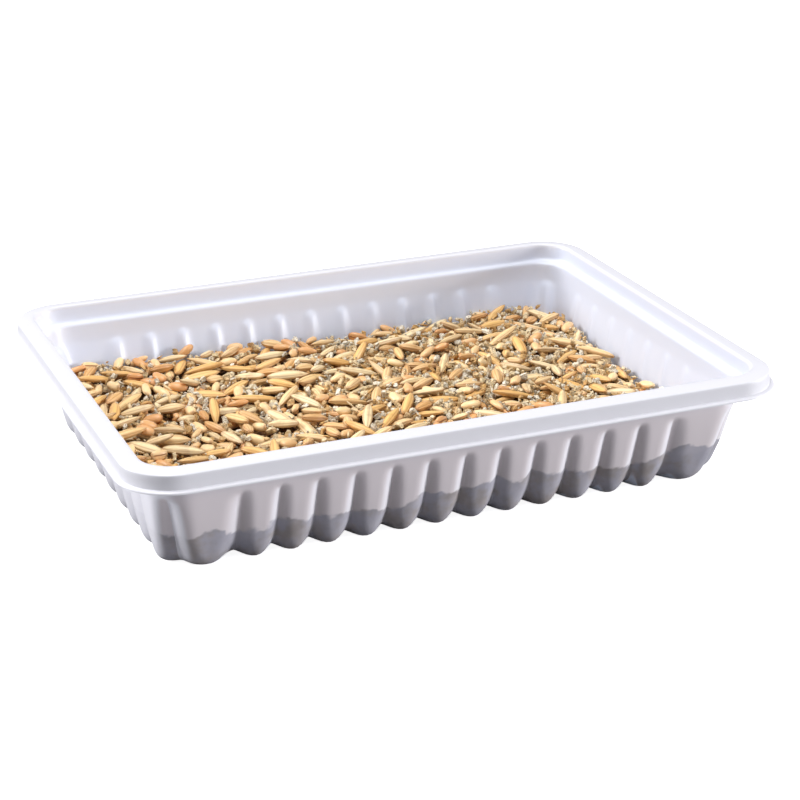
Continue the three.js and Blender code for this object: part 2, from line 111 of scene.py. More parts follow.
@dataclass(frozen=True)
class TrayForm:
    """The measures of the tray and the points of its sheet.

    A level of the sheet is a row: its insets from the rim's outline on the long and on the short
    sides, its height, the depth of its grooves and how far they spread over the lobes.
    """

    half_long: float = 90.0
    half_short: float = 67.5
    rim_radius: float = 13.5
    wall_radius: float = 9.0
    sheet: float = 0.8
    long_pitch: float = 10.07
    long_grooves: int = 6
    short_pitch: float = 11.3
    short_grooves: float = 3.5
    groove_top: float = 2.2
    groove_round: float = 0.22
    groove_curve: float = 1.6
    corner_groove: float = 1.5
    corner_reach: float = 2.7
    short_depth: float = 0.6
    # What a groove that is nearly as wide as its lobes gains in roundness.
    wide_from: float = 0.6
    wide_round: float = 0.26
    wide_curve: float = 0.5
    least_depth: float = 0.1
    # The inner face: where it is softened, how fast, and by what on the long and short sides.
    soft_span: tuple = (8.0, 27.2)
    soft_fades: tuple = (4.0, 12.0)
    soft_ribs: tuple = (0.15, 0.4)
    soft_plastic: tuple = (0.8, 0.6)
    outside: float = 60.0
    from_groove: tuple = (0.0, 0.07, 0.15, 0.25, 0.37, 0.5, 0.65, 0.82)
    columns_a_run: int = 22

    @property
    def last_long(self) -> float:
        """Distance from the middle to the last groove of a long side."""
        return self.long_pitch * self.long_grooves

    @property
    def last_short(self) -> float:
        """Distance from the middle to the last groove of a short side."""
        return self.short_pitch * self.short_grooves

    def outline(self, long_inset: float, short_inset: float) -> tuple:
        """Gives half length, half width and corner radius at a level.

        Args:
            long_inset: Inset of the long sides from the rim's outline.
            short_inset: Inset of the short sides.

        Returns:
            Half length, half width and corner radius.
        """
        radius = max(self.wall_radius, self.rim_radius - min(long_inset, short_inset))
        return self.half_long - short_inset, self.half_short - long_inset, radius

    def push(self, gap, half, strength, depth: float, spread: float):
        """Gives how far a groove pushes the wall inwards.

        Args:
            gap: Distance along the wall to the nearest groove.
            half: Half the width of the lobe beside it.
            strength: Share of the full depth.
            depth: Full depth at this level.
            spread: 0 for a narrow groove, 1 for one as wide as its lobes.

        Returns:
            The push inwards.
        """
        reach = self.groove_top + (half - self.groove_top) * spread
        t = np.clip(1.0 - gap / reach, 0.0, 1.0)
        wide = max(0.0, spread - self.wide_from) / (1 - self.wide_from)
        k = self.groove_round + self.wide_round * wide
        rounded = np.where(t > 1 - k, t - (t - (1 - k)) ** 2 / (2 * k), t)
        curve = self.groove_curve + self.wide_curve * wide
        return depth * strength * (rounded / (1 - k / 2)) ** curve

    def corner_share(self, depth: float) -> float:
        """Gives the strength of a corner's groove at a level of this groove depth."""
        return min(self.corner_groove, self.corner_reach / max(depth, self.least_depth))

    def quarter(self, row: np.ndarray, short_share: float = 1.0) -> np.ndarray:
        """Gives the points of one quarter of a level, from the middle of the near side.

        Args:
            row: Long inset, short inset, height, groove depth and groove spread.
            short_share: Share of the groove depth on the short sides and at the corners.

        Returns:
            One row of x, y and z for each column.
        """
        long_inset, short_inset, height, depth, spread = row
        a, b, r = self.outline(long_inset, short_inset)
        n = self.columns_a_run
        corner = short_share * self.corner_share(depth)
        near_side = np.array(self.from_groove) / 2
        steps = np.concatenate([near_side, [0.5], 1 - near_side[:0:-1]])
        x = (np.arange(self.long_grooves)[:, None] + steps).ravel() * self.long_pitch
        near = np.abs(x - np.round(x / self.long_pitch) * self.long_pitch)
        parts = [(x, -b + x * 0, x * 0, x * 0 - 1, near, self.long_pitch / 2, x * 0 + 1)]
        arc = r * math.pi / 4
        run = a - r - self.last_long + arc
        s = np.arange(n) / n * run
        turn = np.clip(s - (run - arc), 0, None) / r
        px = np.where(turn > 0, a - r + r * np.sin(turn), self.last_long + s)
        py = -(b - r) - r * np.cos(turn)
        strength = np.where(s < run / 2, 1.0, corner)
        near = np.minimum(s, run - s)
        parts.append((px, py, np.sin(turn), -np.cos(turn), near, run / 2, strength))
        run = b - r - self.last_short + arc
        s = np.arange(n) / n * run
        turn = math.pi / 4 + np.clip(s, 0, arc) / r
        px = a - r + r * np.sin(turn)
        py = np.where(s < arc, -(b - r) - r * np.cos(turn), -(b - r) + (s - arc))
        side = short_share * self.short_depth
        strength = np.where(s > run / 2, side, corner)
        near = np.minimum(s, run - s)
        parts.append((px, py, np.sin(turn), -np.cos(turn), near, run / 2, strength))
        whole = (np.arange(int(self.short_grooves))[:, None] + steps).ravel()
        half = self.short_grooves - 0.5 + np.append(near_side, 0.5)
        y = self.last_short - np.concatenate([whole, half]) * self.short_pitch
        from_groove = np.abs(y / self.short_pitch - 0.5)
        near = np.abs(from_groove - np.round(from_groove)) * self.short_pitch
        parts.append((a + y * 0, -y, y * 0 + 1, y * 0, near, self.short_pitch / 2, y * 0 + side))
        points = []
        for px, py, nx, ny, gap, half, strength in parts:
            push = self.push(gap, half, strength, depth, spread)
            points.append(np.stack([px - nx * push, py - ny * push, px * 0 + height], 1))
        return np.vstack(points)

    def ring(self, row: np.ndarray, short_share: float = 1.0) -> np.ndarray:
        """Gives the closed loop of points of one level.

        Args:
            row: Long inset, short inset, height, groove depth and groove spread.
            short_share: Share of the groove depth on the short sides and at the corners.

        Returns:
            One row of x, y and z for each column, anticlockwise from above.
        """
        first = self.quarter(row, short_share)
        back = first[:0:-1]
        return np.vstack([
            first[:-1],
            back * (1, -1, 1),
            first[:-1] * (-1, -1, 1),
            back * (-1, 1, 1),
        ])

    def rim_rows(self) -> np.ndarray:
        """Gives the sheet's rows from the lip's edge over the rim to the step inside it."""
        keys = [
            (-1.5, 27.9), (-1.47, 28.15), (-1.35, 28.38), (-1.05, 28.5), (-0.5, 28.56),
            (-0.22, 28.7), (-0.13, 29.3), (-0.05, 31.0), (0.0, 32.1), (0.08, 32.34),
            (0.3, 32.46), (1.6, 32.66),
            (3.2, 32.86), (4.2, 32.99), (4.65, 32.93), (4.95, 32.65), (5.07, 32.1),
            (5.2, 30.6), (5.35, 29.0), (5.5, 28.4), (5.85, 28.12), (6.6, 28.04),
            (7.2, 27.95), (7.55, 27.7), (7.68, 27.2),
        ]
        inset, height = np.array(keys).T
        return np.stack([inset, inset, height, inset * 0, inset * 0], 1)

    def wall_rows(self) -> np.ndarray:
        """Gives the rows of the sheet's inner face from below the step to the floor."""
        keys = [
            (7.75, 7.72, 26.2, 0.0, 0.0), (8.05, 7.88, 23.6, 0.0, 0.0),
            (8.22, 7.98, 22.6, 0.12, 0.05), (8.4, 8.07, 21.8, 0.6, 0.14),
            (8.75, 8.25, 20.4, 1.1, 0.26), (9.7, 8.75, 16.5, 1.45, 0.37),
            (11.15, 9.45, 11.0, 1.75, 0.46), (12.1, 10.05, 7.6, 2.05, 0.58),
            (12.9, 10.55, 5.0, 2.6, 0.76), (13.5, 11.0, 3.0, 3.5, 0.93),
            (14.4, 11.7, 1.7, 5.0, 1.0), (15.3, 12.45, 1.05, 5.9, 1.0),
            (16.4, 13.4, 0.8, 6.3, 1.0),
        ]
        return smooth_through(keys, 2)

    def soft_ring(self, row: np.ndarray) -> np.ndarray:
        """Gives the loop of the sheet's inner face, where the ribs come out weaker.

        Args:
            row: A row of the sheet.

        Returns:
            The loop with shallower ribs and a little more plastic between them.
        """
        low, high = self.soft_span
        if not low <= row[2] <= high:
            return self.ring(row)
        share = float(np.clip((row[2] - low) / self.soft_fades[0], 0.0, 1.0))
        inward = share * float(np.clip((high - row[2]) / self.soft_fades[1], 0.0, 1.0))
        thicker = (self.soft_plastic[0] * inward, self.soft_plastic[1] * inward, 0, 0, 0)
        soft = row * (1, 1, 1, 1 - self.soft_ribs[0] * share, 1) + thicker
        return self.ring(soft, 1 - self.soft_ribs[1] * share)

    def floor_rows(self) -> np.ndarray:
        """Gives long inset, short inset and height of the floor's loops, to its raised panel."""
        return np.array([
            (24.0, 18.5, 0.8), (28.5, 25.5, 0.8), (31.0, 31.0, 0.8), (31.4, 31.4, 0.95),
            (31.9, 31.9, 1.7), (32.3, 32.3, 1.8), (40.0, 40.0, 1.8),
        ])

    def floor_ring(self, row: np.ndarray) -> np.ndarray:
        """Gives the closed loop of a row of the floor: the outermost one, drawn in evenly.

        Args:
            row: A row of floor_rows().

        Returns:
            One row of x, y and z for each column.
        """
        foot = self.floor_rows()[0]
        wide, deep, _ = self.outline(foot[0], foot[1])
        a, b, _ = self.outline(row[0], row[1])
        bare = self.ring(np.array((foot[0], foot[1], row[2], 0.0, 1.0)))
        return bare * (a / wide, b / deep, 1.0)

    def inner_height(self, x: np.ndarray, y: np.ndarray) -> np.ndarray:
        """Gives the height of the tray's inner face above points of the plan.

        Args:
            x: Places along the tray.
            y: Places across it.

        Returns:
            The height of the sheet there, or the value of outside beyond the wall.
        """
        height = np.full(np.broadcast(x, y).shape, self.outside)
        rows = smooth_through(self.wall_rows()[::2].tolist(), 10)
        ax, ay = np.abs(x), np.abs(y)
        for long_inset, short_inset, z, depth, spread in rows:
            a, b, r = self.outline(long_inset, short_inset)
            qx, qy = ax - (a - r), ay - (b - r)
            inside = r - np.hypot(np.clip(qx, 0, None), np.clip(qy, 0, None))
            inside = np.where((qx < 0) & (qy < 0), r - np.maximum(qx, qy), inside)
            on_long = qy > qx
            gap_long = np.abs(x - np.round(x / self.long_pitch) * self.long_pitch)
            steps = np.abs(y / self.short_pitch - 0.5)
            gap_short = np.abs(steps - np.round(steps)) * self.short_pitch
            gap = np.where(on_long, gap_long, gap_short)
            half = np.where(on_long, self.long_pitch / 2, self.short_pitch / 2)
            corner = (qx > 0) & (qy > 0)
            turned = np.abs(np.arctan2(np.clip(qy, 0.01, None), np.clip(qx, 0.01, None)))
            gap = np.where(corner, np.abs(turned - math.pi / 4) * r, gap)
            side = np.where(on_long, 1.0, self.short_depth)
            strength = np.where(corner, self.corner_share(depth), side)
            push = self.push(gap, half, strength, depth, spread)
            height = np.where(inside > push, z, height)
        return height


class Graph:
    """A material's node tree, with short calls for the nodes that the finishes use."""

    def __init__(self, name: str) -> None:
        """Makes the material.

        Args:
            name: The material's name.
        """
        self.material = bpy.data.materials.new(name)
        self.material.use_nodes = True
        self.tree = self.material.node_tree
        self.shader = self.tree.nodes["Principled BSDF"]

    def node(self, kind: str, inputs: dict | None = None, **settings) -> bpy.types.Node:
        """Adds a node.

        Args:
            kind: The node's type name.
            inputs: Values or sockets for its inputs, by name or number.
            **settings: Attributes set on the node itself.

        Returns:
            The node.
        """
        made = self.tree.nodes.new(kind)
        for key, value in settings.items():
            setattr(made, key, value)
        for key, value in (inputs or {}).items():
            self.put(made.inputs[key], value)
        return made

    def put(self, socket: bpy.types.NodeSocket, value) -> None:
        """Links a socket to an input, or sets the input's own value.

        Args:
            socket: The input.
            value: An output socket, or a plain value.
        """
        if isinstance(value, bpy.types.NodeSocket):
            self.tree.links.new(value, socket)
        else:
            socket.default_value = value

    def math(self, operation: str, first, second=0.0, third=0.0):
        """Adds a math node and returns its output."""
        made = self.node("ShaderNodeMath", {0: first, 1: second, 2: third}, operation=operation)
        return made.outputs[0]

    def ramp(self, value, start: float, stop: float, low: float = 0.0, high: float = 1.0):
        """Adds a smooth step of a value and returns its output."""
        spans = {"From Min": start, "From Max": stop, "To Min": low, "To Max": high}
        inputs = {"Value": value, **spans}
        made = self.node("ShaderNodeMapRange", inputs, interpolation_type="SMOOTHSTEP")
        return made.outputs["Result"]

    def mix(self, share, first, second, blend: str = "MIX"):
        """Adds a colour mix and returns its output."""
        made = self.node("ShaderNodeMix", data_type="RGBA", blend_type=blend)
        self.put(made.inputs["Factor"], share)
        self.put(made.inputs[6], first)
        self.put(made.inputs[7], second)
        return made.outputs[2]

    def noise(self, vector, scale: float, detail: float = 3.0, roughness: float = 0.5):
        """Adds a noise texture and returns its value output."""
        inputs = {"Vector": vector, "Scale": scale, "Detail": detail, "Roughness": roughness}
        return self.node("ShaderNodeTexNoise", inputs).outputs["Fac"]

    def place(self):
        """Returns the object coordinates, in metres."""
        return self.node("ShaderNodeTexCoord").outputs["Object"]

    def own(self, name: str, output: str = "Fac"):
        """Returns an output of one of the mesh's own attributes."""
        return self.node("ShaderNodeAttribute", attribute_name=name).outputs[output]

    def parts(self, vector) -> tuple:
        """Splits a vector into its three numbers."""
        made = self.node("ShaderNodeSeparateXYZ", {"Vector": vector})
        return tuple(made.outputs)

    def all_of(self, *shares):
        """Multiplies shares and returns the output."""
        product = shares[0]
        for share in shares[1:]:
            product = self.math("MULTIPLY", product, share)
        return product

    def coat(self, colour, roughness: float) -> None:
        """Gives the shader its base colour and its roughness."""
        self.put(self.shader.inputs["Base Color"], colour)
        self.shader.inputs["Roughness"].default_value = roughness

    def bump(self, height, strength: float, distance: float) -> None:
        """Gives the shader a bump from a height.

        Args:
            height: The height socket.
            strength: The bump's strength.
            distance: What a height of 1 stands for, in metres.
        """
        made = self.node("ShaderNodeBump", {"Height": height})
        made.inputs["Strength"].default_value = strength
        made.inputs["Distance"].default_value = distance
        self.put(self.shader.inputs["Normal"], made.outputs["Normal"])


class Finish:
    """A finish that adds its nodes to a new material."""

    def build(self, name: str) -> bpy.types.Material:
        """Makes the material.

        Args:
            name: The material's name.

        Returns:
            The material.
        """
        graph = Graph(name)
        self.draw(graph)
        return graph.material

    def draw(self, graph: Graph) -> None:
        """Adds the finish's nodes to a material."""
        raise NotImplementedError


@dataclass(frozen=True)
class TrayPlastic(Finish):
    """Thin white plastic, with painted light and shade in its colour, the contents' shade too."""

    white: tuple = (0.735, 0.76, 0.855, 1.0)
    lit: tuple = (0.645, 0.68, 0.79, 1.0)
    cool: tuple = (0.735, 0.785, 0.925, 1.0)
    bright: tuple = (0.93, 0.925, 1.0, 1.0)
    outer: tuple = (0.73, 0.728, 0.785, 1.0)
    warm: tuple = (0.79, 0.732, 0.768, 1.0)
    brown: tuple = (0.36, 0.325, 0.325, 1.0)
    shade: tuple = (0.42, 0.415, 0.485, 1.0)
    roughness: float = 0.36
    specular: float = 0.45
    # Spans of height, and of length for the left wall, over which colours change, in metres.
    rim_top: tuple = (0.0318, 0.0324)
    upper_wall: tuple = (0.0215, 0.0275)
    inner_wall: tuple = (0.019, 0.027)
    flank_top: tuple = (0.019, 0.023)
    left_wall: tuple = (-0.074, -0.07)

    def draw(self, graph: Graph) -> None:
        """Adds the plastic's nodes to a material."""
        place = graph.place()
        x, y, z = graph.parts(place)
        nx, ny, _ = graph.parts(graph.node("ShaderNodeNewGeometry").outputs["Normal"])
        facing = graph.math("MULTIPLY_ADD", nx, x, graph.math("MULTIPLY", ny, y))
        outside = graph.ramp(facing, 0.0, 0.01)
        below = graph.math("MULTIPLY", outside, graph.ramp(z, *self.upper_wall, 1.0, 0.0))
        # Painted light: the inner face is bluer than the outer one, and bluer still towards its
        # lower part.
        inner = graph.mix(graph.ramp(z, *self.inner_wall, 1.0, 0.0), self.white, self.cool)
        # Painted shade: inner faces turned towards -X, which face the left lamp, take the darker
        # lit colour.
        inner = graph.mix(graph.ramp(nx, -0.9, -0.55, 1.0, 0.0), inner, self.lit)
        seen_outer = graph.math("MAXIMUM", outside, graph.ramp(z, *self.rim_top))
        colour = graph.mix(seen_outer, inner, self.outer)
        # Painted light: a pinkish tint on the lower outer wall, standing in for warm light through
        # the sheet.
        colour = graph.mix(below, colour, self.warm)
        # Painted shade: lower outer flanks turned to the left and front go brown, except on the
        # left wall.
        flank = graph.all_of(
            graph.ramp(nx, -0.6, -0.25, 1.0, 0.0),
            graph.ramp(ny, -0.55, -0.25, 1.0, 0.0),
            graph.ramp(z, *self.flank_top, 0.5, 0.0),
            graph.ramp(x, *self.left_wall),
            outside,
        )
        colour = graph.mix(flank, colour, self.brown)
        # Painted light on the lower outer left wall's faces turned to -X, and a painted highlight
        # on lower outer flanks turned to +X.
        on_left = graph.ramp(x, *self.left_wall, 1.0, 0.0)
        side = graph.math("MULTIPLY", on_left, graph.ramp(nx, -0.7, -0.4, 1.0, 0.0))
        light = graph.math("MAXIMUM", side, graph.ramp(nx, 0.15, 0.5, 0.0, 0.7))
        colour = graph.mix(graph.math("MULTIPLY", light, below), colour, self.bright)
        # Painted shade: a cloudy dark band low on the outer wall, where the contents stand behind
        # it.
        seen = graph.math("MULTIPLY", self._contents_shade(graph, place, side), outside)
        patchy = graph.ramp(graph.noise(place, 120, 3, 0.6), 0.42, 0.66)
        colour = graph.mix(seen, colour, graph.mix(patchy, self.shade, self.brown))
        graph.coat(colour, self.roughness)
        graph.shader.inputs["Specular IOR Level"].default_value = self.specular
        graph.bump(graph.noise(place, 90, 2), 0.1, 0.0004)

    def _contents_shade(self, graph: Graph, place, side):
        """Adds the share of painted shade where the dark contents stand behind the lower wall.

        Args:
            graph: The material's nodes.
            place: The object coordinates.
            side: 1 on the left wall, where they are hardly seen.

        Returns:
            The share.
        """
        x, _, z = graph.parts(place)
        level = graph.math("SUBTRACT", z, graph.ramp(x, -0.08, -0.04, 0.0042, 0.002))
        level = graph.math("SUBTRACT", level, graph.ramp(x, -0.03, 0.02, 0.0, 0.0015))
        level = graph.math("MULTIPLY_ADD", graph.noise(place, 70, 1), -0.010, level)
        level = graph.math("MULTIPLY_ADD", graph.noise(place, 260, 2), -0.004, level)
        seen = graph.ramp(level, -0.0001, 0.001, 1.0, 0.0)
        hidden = graph.math("MULTIPLY_ADD", side, -0.9, 1.0)
        cloudy = graph.ramp(graph.noise(place, 170, 3, 0.6), 0.3, 0.7, 0.8, 1.0)
        return graph.all_of(seen, hidden, cloudy)


@dataclass(frozen=True)
class OatHusk(Finish):
    """The straw-gold husk of an oat grain, with fine ribs along it."""

    pale: tuple = linear(252, 231, 184)
    gold: tuple = linear(244, 197, 124)
    brown: tuple = linear(162, 94, 42)
    ribs: float = 5.0

    def draw(self, graph: Graph) -> None:
        """Adds the husk's nodes to a material."""
        along, across, up = graph.parts(graph.own("local", "Vector"))
        chance = graph.own("chance")
        around = graph.math("ARCTAN2", across, up)
        ribs = graph.math("COSINE", graph.math("MULTIPLY_ADD", around, self.ribs, math.pi))
        lines = graph.ramp(ribs, 0.5, 0.96)
        colour = graph.mix(graph.ramp(chance, 0.1, 0.9), self.pale, self.gold)
        patchy = graph.noise(graph.place(), 260, 3)
        colour = graph.mix(graph.ramp(patchy, 0.5, 0.8, 0.0, 0.35), colour, self.brown)
        # Painted shade: the grain's flanks, away from its top and belly, go brown.
        side = graph.math("ABSOLUTE", graph.math("SINE", around))
        side = graph.ramp(side, 0.6, 1.0, 0.0, 0.35)
        colour = graph.mix(side, colour, self.brown)
        colour = graph.mix(graph.math("MULTIPLY", lines, 0.36), colour, self.brown)
        ends = graph.ramp(graph.math("ABSOLUTE", along), 0.72, 1.0, 0.0, 0.5)
        colour = graph.mix(ends, colour, self.brown)
        graph.coat(colour, 0.42)
        graph.bump(graph.math("MULTIPLY", ribs, -1.0), 0.6, 0.00012)


@dataclass(frozen=True)
class WheatSkin(Finish):
    """The reddish tan skin of a bare wheat grain, with painted shade in its crease."""

    tan: tuple = linear(253, 221, 168)
    red: tuple = linear(231, 172, 114)
    dark: tuple = linear(140, 72, 30)
    brush: tuple = linear(240, 214, 170)

    def draw(self, graph: Graph) -> None:
        """Adds the skin's nodes to a material."""
        along, across, up = graph.parts(graph.own("local", "Vector"))
        chance = graph.own("chance")
        colour = graph.mix(graph.ramp(chance, 0.1, 0.9), self.tan, self.red)
        patchy = graph.noise(graph.place(), 340, 3)
        colour = graph.mix(graph.ramp(patchy, 0.45, 0.8, 0.0, 0.4), colour, self.red)
        # Painted shade: a dark line along the belly for the crease, whose groove the shape leaves
        # out.
        crease = graph.ramp(graph.math("ABSOLUTE", across), 0.05, 0.2, 1.0, 0.0)
        crease = graph.math("MULTIPLY", crease, graph.ramp(up, -0.5, -0.2, 1.0, 0.0))
        colour = graph.mix(graph.math("MULTIPLY", crease, 0.85), colour, self.dark)
        germ = graph.ramp(along, -1.0, -0.72, 0.55, 0.0)
        colour = graph.mix(germ, colour, self.dark)
        brush = graph.ramp(along, 0.8, 1.0, 0.0, 0.5)
        colour = graph.mix(brush, colour, self.brush)
        graph.coat(colour, 0.36)
        graph.bump(graph.noise(graph.own("local", "Vector"), 6, 2), 0.2, 0.0001)


@dataclass(frozen=True)
class Vermiculite(Finish):
    """Crumbly layered granules, silvery white to olive brown."""

    white: tuple = linear(255, 246, 224)
    beige: tuple = linear(255, 232, 186)
    olive: tuple = linear(222, 176, 110)
    dark: tuple = linear(112, 66, 26)

    def draw(self, graph: Graph) -> None:
        """Adds the nodes of the granules to a material."""
        local = graph.own("local", "Vector")
        along = graph.parts(local)[0]
        chance = graph.own("chance")
        colour = graph.mix(graph.ramp(chance, 0.3, 0.5), self.white, self.beige)
        colour = graph.mix(graph.ramp(chance, 0.6, 0.95), colour, self.olive)
        # Painted shade: dark lines between the layers of a granule.
        wavy = graph.math("MULTIPLY_ADD", graph.noise(local, 2.5, 2), 0.5, along)
        leaves = graph.math("SINE", graph.math("MULTIPLY", wavy, 17.0))
        edge = graph.ramp(leaves, 0.55, 0.98, 0.0, 0.3)
        colour = graph.mix(edge, colour, self.dark)
        lumps = graph.noise(graph.place(), 1700, 2, 0.6)
        speck = graph.ramp(lumps, 0.54, 0.64, 0.0, 0.5)
        colour = graph.mix(speck, colour, self.dark)
        graph.coat(colour, 0.5)
        graph.bump(graph.math("MULTIPLY_ADD", lumps, -3.0, leaves), 0.7, 0.00012)


@dataclass(frozen=True)
class CrumbsInPaintedShade(Finish):
    """Dust and crumbs seen in the gaps between the grains, dark with painted shade."""

    light: tuple = linear(132, 92, 46)
    dark: tuple = linear(56, 28, 8)

    def draw(self, graph: Graph) -> None:
        """Adds the nodes of the crumbs to a material."""
        place = graph.place()
        grain = graph.noise(place, 900, 4, 0.7)
        colour = graph.mix(graph.ramp(grain, 0.35, 0.7), self.dark, self.light)
        graph.coat(colour, 0.9)
        graph.bump(grain, 0.8, 0.0006)


@dataclass(frozen=True)
class StudioFloor(Finish):
    """A pale plain floor with a faint grain, which throws little light back up."""

    pale: tuple = (0.95, 0.95, 0.952, 1.0)
    bounce: tuple = (0.34, 0.34, 0.35, 1.0)
    glow: float = 0.95

    def draw(self, graph: Graph) -> None:
        """Adds the floor's nodes to a material."""
        grain = graph.noise(graph.place(), 30, 2)
        colour = graph.mix(graph.math("MULTIPLY", grain, 0.03), self.pale, self.bounce)
        seen = graph.node("ShaderNodeLightPath").outputs["Is Camera Ray"]
        colour = graph.mix(seen, self.bounce, colour)
        graph.coat(colour, 0.85)
        graph.shader.inputs["Emission Color"].default_value = self.pale
        graph.put(graph.shader.inputs["Emission Strength"], graph.math("MULTIPLY", seen, self.glow))
        graph.shader.inputs["Specular IOR Level"].default_value = 0.1


def read_points(obj: bpy.types.Object) -> np.ndarray:
    """Gives the places of a mesh's vertices, in metres, one row for each."""
    points = np.zeros(len(obj.data.vertices) * 3, np.float32)
    obj.data.vertices.foreach_get("co", points)
    return points.reshape(-1, 3)


def write_points(obj: bpy.types.Object, points: np.ndarray) -> None:
    """Sets the places of a mesh's vertices, in metres."""
    obj.data.vertices.foreach_set("co", points.astype(np.float32).ravel())


@contextmanager
def editing() -> Iterator[None]:
    """Holds the active object in edit mode for the steps inside."""
    bpy.ops.object.mode_set(mode="EDIT")
    yield
    bpy.ops.object.mode_set(mode="OBJECT")


def mesh_piece(name: str, points: np.ndarray, faces: list, owned: dict | None = None):
    """Makes a mesh object from points in millimetres.

    Args:
        name: The piece's name.
        points: One row of x, y and z for each vertex.
        faces: Arrays of vertex numbers, one array for each count of corners.
        owned: Attributes of the vertices, by name.

    Returns:
        The object.
    """
    mesh = bpy.data.meshes.new(name)
    loops = np.concatenate([f.ravel() for f in faces])
    sizes = np.concatenate([np.full(len(f), f.shape[1]) for f in faces])
    starts = np.concatenate([[0], np.cumsum(sizes)[:-1]])
    mesh.vertices.add(len(points))
    mesh.vertices.foreach_set("co", (points * MM).astype(np.float32).ravel())
    mesh.loops.add(len(loops))
    mesh.loops.foreach_set("vertex_index", loops.astype(np.int32))
    mesh.polygons.add(len(sizes))
    mesh.polygons.foreach_set("loop_start", starts.astype(np.int32))
    mesh.update(calc_edges=True)
    for key, values in (owned or {}).items():
        kind, slot = ("FLOAT_VECTOR", "vector") if values.ndim == 2 else ("FLOAT", "value")
        layer = mesh.attributes.new(key, kind, "POINT")
        layer.data.foreach_set(slot, values.astype(np.float32).ravel())
    mesh.validate()
    made = bpy.data.objects.new(name, mesh)
    bpy.context.scene.collection.objects.link(made)
    return made


def pick(obj: bpy.types.Object) -> None:
    """Makes an object the only selected one and the active one."""
    bpy.ops.object.select_all(action="DESELECT")
    obj.select_set(True)
    bpy.context.view_layer.objects.active = obj


def finish_piece(obj: bpy.types.Object, material, node: str) -> None:
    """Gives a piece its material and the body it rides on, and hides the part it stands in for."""
    obj.data.materials.clear()
    obj.data.materials.append(material)
    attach(obj, "root")
    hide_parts(node)
    log.info("%s: %d faces", obj.name, len(obj.data.polygons))


@dataclass
class Tray:
    """The tray: one sheet of plastic with a rim, a step, fluted walls and a floor."""

    form: TrayForm = field(default_factory=TrayForm)
    finish: TrayPlastic = field(default_factory=TrayPlastic)
    weld: float = 1e-6
    touch: float = 0.01
    sharp_degrees: float = 50.0

    def build(self) -> None:
        """Models the sheet, thickens it and gives it its finish."""
        rows = np.vstack([self.form.rim_rows(), self.form.wall_rows()])
        floor = [self.form.floor_ring(row) for row in self.form.floor_rows()]
        rings = self._closed([self.form.ring(row) for row in rows] + floor)
        soft = self._closed([self.form.soft_ring(row) for row in rows] + floor)
        high, wide = rings.shape[:2]
        bpy.ops.mesh.primitive_grid_add(x_subdivisions=wide - 1, y_subdivisions=high - 1)
        tray = bpy.context.object
        tray.name = tray.data.name = "tray_sheet"
        write_points(tray, rings * MM)
        layer = tray.data.attributes.new("soft", "FLOAT_VECTOR", "POINT")
        layer.data.foreach_set("vector", (soft * MM).astype(np.float32).ravel())
        with editing():
            bpy.ops.mesh.select_all(action="SELECT")
            bpy.ops.mesh.remove_doubles(threshold=self.weld)
        self._close_floor(tray)
        inner = len(tray.data.vertices)
        sheet = tray.modifiers.new("sheet", "SOLIDIFY")
        sheet.thickness = self.form.sheet * MM
        sheet.offset = -1.0
        sheet.use_even_offset = True
        bpy.ops.object.modifier_apply(modifier="sheet")
        self._soften(tray, inner)
        self._keep_inside(tray)
        bpy.ops.object.shade_smooth_by_angle(angle=math.radians(self.sharp_degrees))
        finish_piece(tray, self.finish.build("white_plastic"), "tray")

    @staticmethod
    def _closed(loops: list) -> np.ndarray:
        """Stacks loops of points and repeats the first point of each at its end."""
        rings = np.stack(loops)
        return np.concatenate([rings, rings[:, :1]], 1)

    def _close_floor(self, tray: bpy.types.Object) -> None:
        """Closes the hole in the middle of the floor and turns all faces up."""
        points = read_points(tray) / MM
        long_inset, short_inset = self.form.floor_rows()[-1][:2]
        a, b, _ = self.form.outline(long_inset, short_inset)
        inner = np.all(np.abs(points[:, :2]) < (a + self.touch, b + self.touch), 1)
        pick(tray)
        with editing():
            bpy.ops.mesh.select_mode(type="VERT")
            bpy.ops.mesh.select_all(action="DESELECT")
        tray.data.vertices.foreach_set("select", inner)
        with editing():
            bpy.ops.mesh.edge_face_add()
            bpy.ops.mesh.select_all(action="SELECT")
            bpy.ops.mesh.normals_make_consistent(inside=False)
        top = max(tray.data.polygons, key=lambda face: face.area)
        if top.normal.z < 0:
            with editing():
                bpy.ops.mesh.flip_normals()

    def _soften(self, tray: bpy.types.Object, inner: int) -> None:
        """Moves the sheet's inner face, its first points, to the softened form."""
        points = read_points(tray)
        soft = np.zeros(points.size, np.float32)
        tray.data.attributes["soft"].data.foreach_get("vector", soft)
        points[:inner] = soft.reshape(-1, 3)[:inner]
        write_points(tray, points)
        tray.data.attributes.remove(tray.data.attributes["soft"])

    def _keep_inside(self, tray: bpy.types.Object) -> None:
        """Holds the thickened sheet inside the measured tray to the last bit."""
        low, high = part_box("tray")
        write_points(tray, np.clip(read_points(tray), np.array(low), np.array(high)))
        tray.data.update()


class GrainKind(Enum):
    """The kinds of grain in the mix, with length, width and height from least to most."""

    OAT = ((9.6, 14.0), (2.8, 3.6), (1.9, 2.6))
    BARLEY = ((7.4, 9.0), (2.9, 3.5), (2.2, 2.7))
    WHEAT = ((5.2, 6.6), (2.6, 3.2), (2.2, 2.7))


@dataclass(frozen=True)
class Template:
    """A shape that is copied many times: its points within one unit and its faces."""

    points: np.ndarray
    faces: list


